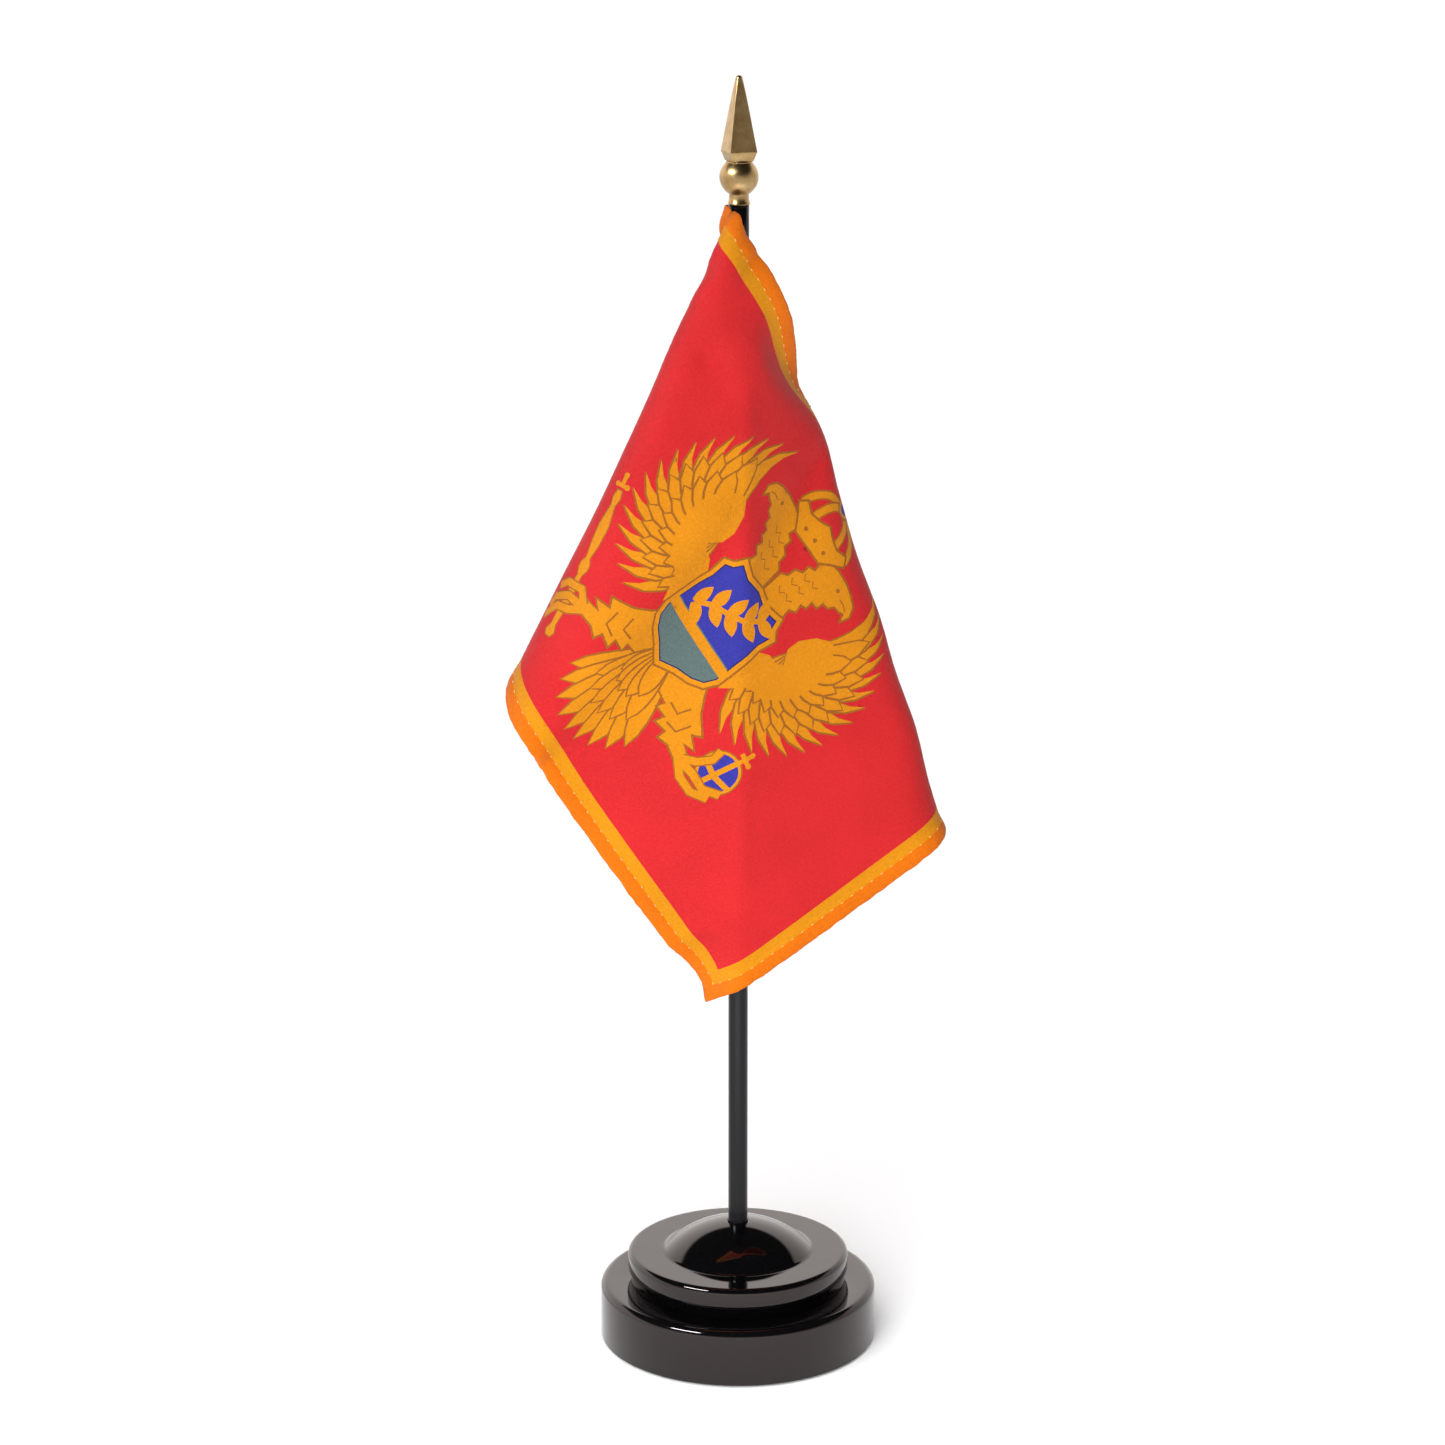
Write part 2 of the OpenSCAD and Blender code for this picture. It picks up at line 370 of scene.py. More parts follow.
def cast_iron():
    """Sand-cast iron ring with a rusty bloom."""
    look = Look("cast_iron", Metallic=0.8)
    grain = look.noise(look.coords(), 1.6, 8.0, 0.7)
    rust = look.span(look.noise(look.coords(), 0.25, 5.0, 0.6), 0.0, 0.6, 0.5, 0.75)
    look.feed(
        Base_Color=look.mix(rust, linear(84, 86, 90), linear(112, 74, 52)),
        Roughness=look.span(grain, 0.5, 0.75),
    )
    look.bump(grain, 0.2, 0.7)
    return look.material


def printed_cloth(name):
    """Knitted polyester with the print in its colour attribute."""
    look = Look(name, Sheen_Weight=0.05, Sheen_Roughness=0.45, Specular_IOR_Level=0.12)
    ink = new_node(look.tree, "ShaderNodeAttribute", attribute_name="ink").outputs["Color"]
    flat = new_node(look.tree, "ShaderNodeAttribute", attribute_name="flat").outputs["Vector"]
    wales = look.waves(flat, KNIT, 0.6, "X")
    courses = look.waves(flat, KNIT * ROW_SHARE, 0.8, "Y")
    loops = math_node(look.tree, "MULTIPLY", wales, courses)
    cloudy = look.noise(flat, 0.07, 3.0)
    fuzz = look.noise(flat, 1.7, 4.0, 0.65)
    shade = look.add(look.span(loops, 0.88, 1.06), look.span(cloudy, -0.05, 0.05, 0.3, 0.7))
    shade = look.add(shade, look.span(fuzz, -0.12, 0.12, 0.3, 0.7))
    tint = new_node(look.tree, "ShaderNodeCombineColor", {0: shade, 1: shade, 2: shade}).outputs["Color"]
    look.feed(
        Base_Color=look.mix(1.0, ink, tint, "MULTIPLY"),
        Roughness=look.span(look.noise(flat, 0.9, 2.0), 0.62, 0.8),
    )
    look.bump(look.add(loops, look.span(fuzz, -0.5, 0.5)), 0.06, 0.6)
    return look.material


def thread():
    """Twisted sewing thread."""
    look = Look("hem_thread", Roughness=0.55, Sheen_Weight=0.3)
    twist = look.noise(look.coords(), 6.0, 3.0)
    look.feed(Base_Color=look.mix(twist, linear(214, 160, 84), linear(196, 128, 44)))
    look.bump(twist, 0.05, 0.8)
    return look.material


# ---- Base ----

def base_shell(material):
    """Lower disc, hollow below, with its ribs."""
    edge = 0.35
    under_top = DISC_TOP - WALL
    inner = BASE_R - WALL
    profile = [(inner, BASE_BOTTOM), (BASE_R - edge, BASE_BOTTOM)]
    profile += arc(BASE_R - edge, BASE_BOTTOM + edge, edge, -60, 0, 4)
    profile += [(BASE_R, DISC_TOP / 2)]
    profile += arc(BASE_R - DISC_ROUND, DISC_TOP - DISC_ROUND, DISC_ROUND, 0, 90, 14)
    profile += [(BASE_R - DISC_ROUND - 0.6, DISC_TOP), (SPIGOT_R + 1, DISC_TOP), (SPIGOT_R, DISC_TOP - 0.3)]
    profile += [(SPIGOT_R, under_top), (inner - 0.5, under_top), (inner, under_top - 0.5)]
    parts = [lathe(profile, closed=True)]
    rib_low = 5.2
    rib_in = SPIGOT_R + 0.4
    rib_out = BASE_R - WALL / 2
    rib_top = DISC_TOP - WALL / 2
    for i in range(RIBS):
        turn = radians(i * 360 / RIBS + 30)
        size = (rib_out - rib_in, 1.6, rib_top - rib_low)
        centre = ((rib_in + rib_out) / 2, 0, (rib_low + rib_top) / 2)
        parts.append(box_mesh(size, centre, turn))
    return new_piece("base_disc", *join_meshes(parts), "base", "base_plastic", material, ["base_shell"])


def base_cap(material):
    """Neck, upper disc, dome and the socket tube below it, as one moulding."""
    dome_h = DOME_TOP - RIM_TOP
    curve = (DOME_R ** 2 + dome_h ** 2) / (2 * dome_h)
    centre_z = DOME_TOP - curve
    edge_angle = degrees(atan2(RIM_TOP - centre_z, DOME_R))
    mouth = SOCKET_R + 0.25
    mouth_angle = degrees(acos(mouth / curve))
    lower_edge = 0.5
    fillet = 0.35
    tube_r = SOCKET_R + SOCKET_WALL
    spigot_in = SPIGOT_R - 2
    spigot_out = SPIGOT_R - 0.1
    spigot_z = DISC_TOP - SPIGOT_DROP
    profile = [(SOCKET_R, SOCKET_END), (tube_r, SOCKET_END), (tube_r, spigot_z + 1)]
    profile += [(spigot_in, spigot_z + 1), (spigot_in, spigot_z), (spigot_out, spigot_z)]
    profile += [(spigot_out, DISC_TOP + 0.02), (NECK_R - 0.2, DISC_TOP + 0.02)]
    profile += [(NECK_R, DISC_TOP + 0.2), (NECK_R, NECK_TOP - 0.2), (NECK_R + 0.2, NECK_TOP)]
    profile += arc(CAP_R - lower_edge, NECK_TOP + lower_edge, lower_edge, -90, 0, 5)
    profile += arc(CAP_R - RIM_ROUND, RIM_TOP - RIM_ROUND, RIM_ROUND, 0, 90, 12)
    for r in (CAP_R - RIM_ROUND - 0.5, DOME_R + fillet + 0.4, DOME_R + fillet):
        profile.append((r, RIM_TOP))
    profile += arc(0, centre_z, curve, edge_angle, mouth_angle, 60)[1:]
    profile += [(SOCKET_R, profile[-1][1] - 0.25)]
    mesh = lathe(profile, closed=True)
    return new_piece("base_top", *mesh, "base", "cap_plastic", material, ["base_cap"])


def base_pad(material):
    """Felt disc with a soft, slightly uneven edge."""
    rings = 14
    segments = 180
    rng = np.random.default_rng(7)
    ripple = rng.normal(0, 1, (rings, segments))
    verts = []
    for k in range(rings):
        around = pi * k / (rings - 1) - pi / 2
        for i in range(segments):
            r = PAD_R - 0.25 + 0.25 * cos(around) + 0.015 * ripple[k][i]
            z = PAD_TOP / 2 + PAD_TOP / 2 * sin(around)
            verts.append((*polar(r, tau * i / segments), z))
    faces = band(rings, segments, capped=True)
    return new_piece("felt_pad", verts, faces, "base", "pad_felt", material, ["base_pad"])


# ---- Staff and finial ----

def staff(material):
    chamfer = 0.5
    profile = [(STAFF_R - chamfer, STAFF_BOTTOM), (STAFF_R, STAFF_BOTTOM + chamfer)]
    pieces = 40
    for k in range(1, pieces):
        profile.append((STAFF_R, STAFF_BOTTOM + (STAFF_TOP - STAFF_BOTTOM) * k / pieces))
    profile += [(STAFF_R, STAFF_TOP)]
    return new_piece("staff_rod", *lathe(profile, 96), "staff", "staff_plastic", material, ["staff"])


CORNER_POINTS = 16


def square_ring(width, corner, z):
    """A rounded square, turned as the spear is, for lofting."""
    ring = []
    flat = width / 2 - corner
    for quarter in range(4):
        for k in range(CORNER_POINTS):
            a = pi / 2 * (quarter + k / (CORNER_POINTS - 1))
            cx = flat * (1 if quarter in (0, 3) else -1)
            cy = flat * (1 if quarter in (0, 1) else -1)
            ring.append((*turned(cx + corner * cos(a), cy + corner * sin(a), SPEAR_TURN), z))
    return ring


def spear():
    """Square spear with softened edges and a blunt round tip."""
    start = RING_Z + RING_H - 0.05
    shoulder = RING_Z + RING_H + UNDER_H
    taper_from = shoulder + 0.16
    taper_top = FINIAL_TOP - TIP_R
    taper_w = SPEAR_W - 0.06
    rings = [
        square_ring(UNDER_W, 0.45, start),
        square_ring(UNDER_W + 0.1, 0.3, start + 0.12),
        square_ring(SPEAR_W - 0.12, 0.14, shoulder - 0.14),
        square_ring(SPEAR_W, 0.12, shoulder),
        square_ring(taper_w, 0.1, taper_from),
    ]
    steps = 24
    for k in range(1, steps + 1):
        f = k / steps
        width = taper_w + (TIP_W - taper_w) * f
        corner = 0.1 + (TIP_W / 2 - 0.15) * f ** 4
        rings.append(square_ring(width, corner, taper_from + (taper_top - taper_from) * f))
    tip_steps = 8
    for k in range(1, tip_steps):
        a = pi / 2 * k / tip_steps
        width = TIP_W * cos(a)
        rings.append(square_ring(width, width / 2 - 0.001, taper_top + TIP_R * sin(a)))
    verts = [v for ring in rings for v in ring]
    return verts, band(len(rings), 4 * CORNER_POINTS, capped=True)


def finial(material):
    """Collar with its flared lip, ball, neck ring and spear."""
    lip_r = STAFF_R + 0.25
    profile = [(STAFF_R - 0.3, STAFF_TOP), (lip_r - 0.1, STAFF_TOP)]
    profile += arc(lip_r - 0.12, STAFF_TOP + 0.14, 0.12, -60, 60, 5)
    profile += [(STAFF_R + 0.12, STAFF_TOP + 0.62), (STAFF_R - 0.02, STAFF_TOP + 0.9)]
    profile += [(STAFF_R - 0.1, STAFF_TOP + COLLAR_H - 0.2)]
    low = -degrees(acos((STAFF_R - 0.05) / BALL_R))
    high = degrees(acos((RING_R - 0.1) / BALL_R))
    profile += arc(0, BALL_Z, BALL_R, low, high, 56)
    profile += arc(RING_R - 0.3, RING_Z + RING_H / 2, 0.3, -70, 90, 8)
    profile += [(1.2, RING_Z + RING_H)]
    mesh = join_meshes([lathe(profile, 160), spear()])
    return new_piece("gilt_finial", *mesh, "staff", "finial_gilt", material, ["finial"])


# ---- Drape: the shape of the cloth before it settles, much as in the CAD ----

LEAVE_DIR = 153
BEND_ARC, BEND_TURN = 28, 82
FOLD_ARC, FOLD_TURN = 6, 147
ROLL_TOP, ROLL_FLY = 45, 36
ROLL_R, ROLL_TURN = 4.5, radians(165)
RAYS = 90

# Cells of the cloth that is settled
COLS, ROWS = 60, 40
CELL = np.array([FLY / COLS, HOIST / ROWS])
# How much larger the hung cloth is than its flat size: chosen to fit its outline, not measured
STRETCH = np.array([1.01, 1.024])

# Places that the hanging flag keeps: (s, t), (x, y, z), how firmly
ANCHORS = [
    # Left fold
    ((66, 99), (-50.4, -10.8, 150.2), 0.3),
    ((50, 75), (-36, -9, 177), 0.2),
    ((32.6, 50.4), (-25, -7.2, 205), 0.2),
    ((16.3, 25.2), (-12.6, -5.4, 232.6), 0.2),
    # Bottom edge
    ((86, 99), (-41.8, -8.3, 133), 0.2),
    ((107, 99), (-30, -5.5, 115.2), 0.2),
    ((128, 99), (-18.4, -2.8, 98), 0.2),
    ((149.5, 99), (-7.6, 0, 80.6), 0.2),
    # Right fold
    ((149.5, 34), (46.8, 12, 115.4), 0.2),
    ((124.4, 26.5), (40.1, 12.6, 141), 0.2),
    ((99.4, 18.8), (31.9, 13, 166), 0.2),
    ((74.3, 12), (23.4, 13.3, 191.3), 0.2),
    ((58, 9), (18.9, 12.6, 207.5), 0.2),
    ((74.75, 49.5), (-5, -4, 169.5), 0.15),
    # Top edge, seen as far as the right fold and behind it after that
    ((8, 0), (2.2, -3.4, 253.9), 0.3),
    ((14, 0), (5.6, -2.4, 248.8), 0.3),
    ((26, 0), (10.3, 1.2, 239.5), 0.3),
    ((36, 0), (12, 7.4, 230.4), 0.3),
    ((46, 0), (12.8, 14.8, 222), 0.3),
    ((55, 0), (13.6, 19, 213.6), 0.25),
    ((66, 0), (15, 21.5, 204), 0.25),
]


def ray_frames():
    """Directions along and across each ray from the corner, a degree apart."""
    along = np.array([0, 0, -1.0])
    leave = radians(LEAVE_DIR)
    side = np.array([cos(leave), sin(leave), 0.0])
    step = radians(90 / RAYS)
    rows = [(along, side)]
    for k in range(RAYS):
        middle = (k + 0.5) * 90 / RAYS
        rate = 0.0
        if middle < BEND_ARC:
            rate = BEND_TURN / BEND_ARC
        elif middle < BEND_ARC + FOLD_ARC:
            rate = FOLD_TURN / FOLD_ARC
        turn = rate * step
        turned = side * cos(turn) - np.cross(along, side) * sin(turn)
        next_along = along * cos(step) + turned * sin(step)
        side = turned * cos(step) - along * sin(step)
        along = next_along
        rows.append((along, side))
    return np.array(rows)


def first_drape(s, t):
    """The flag as a cone from its corner, with the right fold rolled back."""
    rays = ray_frames()
    line = np.array([FLY - ROLL_TOP, ROLL_FLY])
    across = np.array([line[1], -line[0]]) / np.linalg.norm(line)
    past = (s - ROLL_TOP) * across[0] + t * across[1]
    roll_len = ROLL_R * ROLL_TURN
    phi = np.clip(past, 0, roll_len) / ROLL_R
    rest = np.maximum(past - roll_len, 0)
    forward = ROLL_R * np.sin(phi) + rest * cos(ROLL_TURN)
    back = ROLL_R * (1 - np.cos(phi)) + rest * sin(ROLL_TURN)
    shift = np.where(past > 0, forward - past, 0)
    s2 = s + across[0] * shift
    t2 = t + across[1] * shift
    angle = np.clip(90 - np.degrees(np.arctan2(t2, s2)), 0, 89.99) * RAYS / 90
    low = np.floor(angle).astype(int)
    mix = (angle - low)[..., None, None]
    both = rays[low] * (1 - mix) + rays[low + 1] * mix
    along = both[..., 0, :]
    away = np.cross(both[..., 1, :], along)
    return CORNER + np.hypot(s2, t2)[..., None] * along + back[..., None] * away


# ---- Settling: a small cloth solver on the grid of cells ----

def pair_sets(di, dj):
    """Index pairs (i, j) to (i + di, j + dj), in two sets that don't share points."""
    sets = []
    cols = np.arange(COLS + 1)
    rows = np.arange(ROWS + 1)
    for odd in (0, 1):
        if di:
            first = cols[:COLS + 1 - di]
            picked = first[(first // di) % 2 == odd]
            low = rows[max(0, -dj):ROWS + 1 - max(0, dj)]
            sets.append((np.ix_(picked, low), np.ix_(picked + di, low + dj)))
        else:
            first = rows[:ROWS + 1 - dj]
            picked = first[(first // dj) % 2 == odd]
            sets.append((np.ix_(cols, picked), np.ix_(cols, picked + dj)))
    return sets


def cloth_links():
    """(from, to, rest length, firmness, only when shorter) for every set of links."""
    kinds = [
        (1, 0, 1.0, False), (0, 1, 1.0, False), (1, 1, 0.9, False), (1, -1, 0.9, False),
        (2, 0, 0.25, True), (0, 2, 0.25, True), (4, 0, 0.06, True), (0, 4, 0.06, True),
    ]
    links = []
    for di, dj, firm, shorter in kinds:
        rest = hypot(di * CELL[0] * STRETCH[0], dj * CELL[1] * STRETCH[1])
        for a, b in pair_sets(di, dj):
            links.append((a, b, rest, firm, shorter))
    return links


def pull_to_anchors(points, free):
    """Moves the cloth round each anchor a little towards it."""
    reach = 3
    for (s, t), target, firm in ANCHORS:
        i = int(round(s / CELL[0]))
        j = int(round(t / CELL[1]))
        i0, i1 = max(i - reach, 0), min(i + reach, COLS) + 1
        j0, j1 = max(j - reach, 0), min(j + reach, ROWS) + 1
        ii, jj = np.meshgrid(np.arange(i0, i1), np.arange(j0, j1), indexing="ij")
        weight = np.exp(-((ii - i) ** 2 + (jj - j) ** 2) / 6.0) * free[i0:i1, j0:j1]
        move = (np.array(target, float) - points[i, j]) * firm
        points[i0:i1, j0:j1] += move * weight[..., None]


def settle(points, rounds):
    """Lets the sheet hang: it keeps its lengths, resists bends and clears the staff."""
    gravity = 0.002
    damping = 0.9
    smoothing = 0.02
    free = np.ones(points.shape[:2])
    free[0] = 0
    # The cloth clears the sleeve, and stands off further away from the seam
    clear = np.full(points.shape[:2], TAB_R + 0.7)
    clear[:4] = TAB_R - 0.3
    pinned = points[0].copy()
    speed = np.zeros_like(points)
    links = cloth_links()
    for _ in range(rounds):
        before = points.copy()
        points = points + speed * damping * free[..., None]
        points[..., 2] -= gravity * free
        pull_to_anchors(points, free)
        lap = np.zeros_like(points)
        lap[1:-1] += points[2:] + points[:-2] - 2 * points[1:-1]
        lap[:, 1:-1] += points[:, 2:] + points[:, :-2] - 2 * points[:, 1:-1]
        points = points + smoothing * lap * free[..., None]
        for _ in range(2):
            for a, b, rest, firm, shorter in links:
                gap = points[b] - points[a]
                length = np.linalg.norm(gap, axis=-1) + 1e-9
                change = (length - rest) / length * firm
                if shorter:
                    change = np.minimum(change, 0)
                total = free[a] + free[b] + 1e-9
                points[a] += gap * (change * free[a] / total)[..., None]
                points[b] -= gap * (change * free[b] / total)[..., None]
        reach = np.hypot(points[..., 0], points[..., 1])
        push = np.where((reach < clear) & (free > 0), clear / np.maximum(reach, 1e-6), 1.0)
        points[..., :2] *= push[..., None]
        points[0] = pinned
        speed = points - before
    return points


def hang_flag():
    s, t = np.meshgrid(np.arange(COLS + 1) * CELL[0], np.arange(ROWS + 1) * CELL[1], indexing="ij")
    rounds = 600
    return settle(first_drape(s * STRETCH[0], t * STRETCH[1]), rounds)


# ---- Smooth surface through the settled grid ----

def spline_weights(f):
    """Weights of four neighbouring points, and the weights of the slope there."""
    value = np.stack([
        -0.5 * f + f ** 2 - 0.5 * f ** 3,
        1 - 2.5 * f ** 2 + 1.5 * f ** 3,
        0.5 * f + 2 * f ** 2 - 1.5 * f ** 3,
        -0.5 * f ** 2 + 0.5 * f ** 3,
    ], axis=-1)
    slope = np.stack([
        -0.5 + 2 * f - 1.5 * f ** 2,
        -5 * f + 4.5 * f ** 2,
        0.5 + 4 * f - 4.5 * f ** 2,
        -f + 1.5 * f ** 2,
    ], axis=-1)
    return value, slope


class Cloth:
    """The hanging cloth as a surface: flat point in, place and front normal out."""

    def __init__(self, grid):
        wide = np.concatenate([2 * grid[:1] - grid[1:2], grid, 2 * grid[-1:] - grid[-2:-1]])
        before = 2 * wide[:, :1] - wide[:, 1:2]
        after = 2 * wide[:, -1:] - wide[:, -2:-1]
        self.grid = np.concatenate([before, wide, after], axis=1)

    def at(self, flat, height=0.0):
        """Places at flat points, lifted off the front by height."""
        flat = np.asarray(flat, float)
        x = flat / CELL
        low = np.clip(np.floor(x).astype(int), 0, (COLS - 1, ROWS - 1))
        f = x - low
        us, du = spline_weights(f[..., 0])
        vs, dv = spline_weights(f[..., 1])
        steps = np.arange(4)
        patch = self.grid[
            (low[..., 0, None] + steps)[..., :, None],
            (low[..., 1, None] + steps)[..., None, :],
        ]
        place = np.einsum("...a,...b,...abc->...c", us, vs, patch)
        slope_s = np.einsum("...a,...b,...abc->...c", du, vs, patch)
        slope_t = np.einsum("...a,...b,...abc->...c", us, dv, patch)
        front = np.cross(slope_t, slope_s)
        front /= np.linalg.norm(front, axis=-1, keepdims=True)
        return place + front * np.asarray(height)[..., None]


# ---- Print: flat shapes in emblem axes, x to the fly and y up, from the flag's middle ----

def mirrored(points):
    return [(-x, y) for x, y in points]


def circle(cx, cy, r, count=20):
    return [(cx + r * cos(tau * k / count), cy + r * sin(tau * k / count))
            for k in range(count)]


def blade(root, angle, length, half, point, curl=0):
    """A feather or leaf from its root along angle (degrees), with a tapered end."""
    steps = 7
    right = []
    left = []
    for k in range(steps + 1):
        f = k / steps
        a = radians(angle + curl * f * f)
        width = half * (0.55 + 0.45 * sin(pi * min(f, 0.6) / 1.2)) * (1 - f ** point)
        x = root[0] + length * f * cos(a)
        y = root[1] + length * f * sin(a)
        right.append((x + width * sin(a), y - width * cos(a)))
        left.append((x - width * sin(a), y + width * cos(a)))
    return right + left[-2::-1]


def stroke(points, width):
    """A line of even width as a shape."""
    left = []
    right = []
    for k, (x, y) in enumerate(points):
        ax, ay = points[max(k - 1, 0)]
        bx, by = points[min(k + 1, len(points) - 1)]
        size = hypot(bx - ax, by - ay)
        nx, ny = -(by - ay) / size * width / 2, (bx - ax) / size * width / 2
        left.append((x + nx, y + ny))
        right.append((x - nx, y - ny))
    return left + right[::-1]


def inset(points, distance):
    """Moves an anticlockwise outline inwards."""
    moved = []
    count = len(points)
    for k in range(count):
        p = Vector(points[k])
        before = (p - Vector(points[k - 1])).normalized()
        after = (Vector(points[(k + 1) % count]) - p).normalized()
        normal = Vector((-before.y - after.y, before.x + after.x))
        normal.normalize()
        turn = max(normal.dot(Vector((-before.y, before.x))), 0.5)
        moved.append(tuple(p + normal * distance / turn))
    return moved


def signed_area(points):
    """Positive for an anticlockwise outline."""
    total = 0
    for k, (x, y) in enumerate(points):
        px, py = points[k - 1]
        total += px * y - x * py
    return total / 2


LINE = 0.48


class Print:
    """Coloured shapes, painted in order."""

    def __init__(self):
        self.shapes = []

    def add(self, ink, points):
        self.shapes.append((ink, points))

    def both(self, ink, points):
        self.add(ink, points)
        self.add(ink, mirrored(points))

    def feather(self, root, angle, length, half, point, curl=0, both=True):
        """A gold feather with its outline."""
        put = self.both if both else self.add
        put("line", blade(root, angle, length + LINE, half + LINE, point, curl))
        put("gold", blade(root, angle, length, half, point, curl))

    def outlined(self, points, both=False, edge=LINE):
        """A gold shape over a wider dark one."""
        put = self.both if both else self.add
        put("line", inset(points if signed_area(points) > 0 else points[::-1], -edge))
        put("gold", points)


def wing(art):
    """Flight feathers, two rows of coverts, then the plain shoulder."""
    hub = (17.5, 8.5)
    count = 16
    for k in range(count):
        f = k / (count - 1)
        angle = -98 + 166 * f
        tip = 21.4 + 3.6 * max(0, (angle - 5) / 61) ** 2 + max(0, -(angle + 20) / 76)
        art.feather(hub, angle - 12, tip, 2.1, 4 - f, 30)
    for row, (count, reach, half) in enumerate([(13, 17.4, 2.1), (10, 13.4, 2)]):
        for k in range(count):
            f = k / (count - 1)
            angle = -102 + (156 - 14 * row) * f
            art.feather(hub, angle - 5, reach * (0.94 + 0.1 * f), half, 8, 12)
    shoulder = [
        (10.5, 2.4), (9, -4), (12.5, -8.5), (16.2, -3.2), (20.5, -2.2), (24.2, 1.6), (26.2, 6.4),
        (26.3, 11.2), (24.6, 15.2), (21, 17.8), (17.6, 15.2), (15.4, 11.6), (15.2, 8.6), (17.4, 6),
        (16, 4.6), (13.4, 4.6),
    ]
    art.both("gold", shoulder)


def tail(art):
    """Three rows of fanned tail feathers."""
    root = (0, -13)
    for count, spread, reach, half in ((9, 66, 27.6, 2.3), (6, 50, 20, 2.2), (5, 44, 13.5, 2)):
        for k in range(count):
            off = spread * (k / (count - 1) - 0.5)
            length = reach - 5.2 * (off / 33) ** 2
            art.feather(root, -90 + off, length, half, 6, 0, both=False)


def leg(art):
    """Feathered thigh and bare shank, towards the lower corner."""
    thigh = [
        (3.6, -15.4), (9.4, -9), (12.2, -12), (15.2, -14.8), (19.6, -17.2), (17.8, -18.8),
        (21.2, -20.2), (18.6, -21.2), (22.8, -22.4), (21.6, -24.8), (17, -24), (14.6, -24.8),
        (14.4, -22.8), (11.2, -23.4), (11.6, -21.2), (8.6, -21.4), (9, -19.6), (5.8, -19.2),
    ]
    art.outlined(thigh, both=True)
    upper_cut = [(9.4, -18.6), (12.4, -18.8), (13.2, -15.8)]
    lower_cut = [(12.6, -21.6), (15.6, -21.2), (16.4, -17.8)]
    for cut in (upper_cut, lower_cut):
        art.both("line", stroke(cut, LINE))


def head(art):
    """Head and neck, looking outwards, with a ruff of neck feathers."""
    shape = [
        (8.4, 10.6), (7.8, 13.6), (9.4, 14.6), (8.8, 16.4), (10.4, 17), (10.2, 18.8), (12, 19),
        (12.2, 20.8), (13.8, 21), (14.6, 22.4), (16.2, 22.6), (17.4, 23.2), (18.2, 21.8), (18.8, 23.6),
        (17.6, 25.6), (15.4, 26.6), (12.6, 27.3), (9, 27.4), (6.2, 26.7), (5, 24.8), (5.4, 23),
        (3.8, 22.4), (3.9, 20.6), (2.2, 19.6), (2, 17.6), (0.6, 16.6), (0.4, 10.6),
    ]
    art.outlined(shape, both=True)
    art.both("line", circle(12.4, 25, 0.5, 10))
    art.both("line", stroke([(14.2, 24.2), (15.8, 24.2), (17.2, 23.6)], 0.28))
    for x, y in ((5.4, 20.2), (7.8, 20.8), (4, 17.4), (6.6, 17.6), (3.4, 14.2), (6, 14.4)):
        art.both("line", stroke([(x - 1.1, y + 0.8), (x, y - 0.2), (x + 1.1, y + 0.7)], 0.26))


def crown(art):
    """Open arches on a jewelled band, with a small orb above."""
    for half_w, low, high in ((8.6, 28.6, 36.4), (4.2, 28.4, 36)):
        arch = []
        for k in range(11):
            a = pi * (0.04 + 0.46 * k / 10)
            arch.append((half_w * max(cos(a), 0) ** 0.8, low + (high - low) * sin(a)))
        art.both("line", stroke(arch, 2.2))
        art.both("gold", stroke(arch, 1.5))
    flare = [(-4.4, 24.8), (4.4, 24.8), (6.4, 26.8), (9, 29), (7.7, 30.6), (5.1, 29.4), (2.5, 30),
             (0, 31), (-2.5, 30), (-5.1, 29.4), (-7.7, 30.6), (-9, 29), (-6.4, 26.8)]
    art.outlined(flare)
    for x in (-3.4, 0, 3.4):
        art.add("line", circle(x, 26.8, 0.5, 10))
    for ink, r in (("line", 2.5), ("gold", 2.1), ("blue", 1.4)):
        art.add(ink, circle(0, 37.2, r))
    art.add("gold", stroke([(0, 38.6), (0, 40.4)], 0.8))
    art.add("gold", stroke([(-1, 39.7), (1, 39.7)], 0.7))


def shield(art):
    """Blue over teal, gold rimmed, with a leafy sprig as its charge."""
    half = [(0, -17), (4.2, -14.6), (7.8, -13.2), (10.6, -11.2), (11.8, -8), (11.2, -1.4),
            (10.8, 3.4), (11.6, 7.2), (9.8, 8.6), (8.8, 11.2), (4.6, 10.2), (0, 11.3)]
    outline = half + mirrored(half)[-2:0:-1]
    art.outlined(outline)
    inner = inset(outline, 1.35)
    art.add("navy", inset(outline, 1.05))
    art.add("teal", inner)
    art.add("blue", clip_above(inner, -4.6))
    art.add("gold", clip_above(clip_above(inset(outline, 0.6), -7.2), -4.9, keep_below=True))
    stem = [(-6.6, -2.6), (-3.6, 0.4), (0, 2.2), (3.4, 4.2), (5.6, 7)]
    art.add("gold", stroke(stem, 1.2))
    for root, angle in zip(stem, (35, 40, 36, 48, 60)):
        for side in (62, -62):
            art.add("gold", blade(root, angle + side, 5, 1.6, 3))


def clip_above(points, level, keep_below=False):
    """The part of a shape above a level, or below it."""
    sign = -1 if keep_below else 1
    kept = []
    for k, (x, y) in enumerate(points):
        px, py = points[k - 1]
        inside = sign * (y - level) > 0
        was_inside = sign * (py - level) > 0
        if inside != was_inside:
            f = (level - py) / (y - py)
            kept.append((px + (x - px) * f, level))
        if inside:
            kept.append((x, y))
    return kept


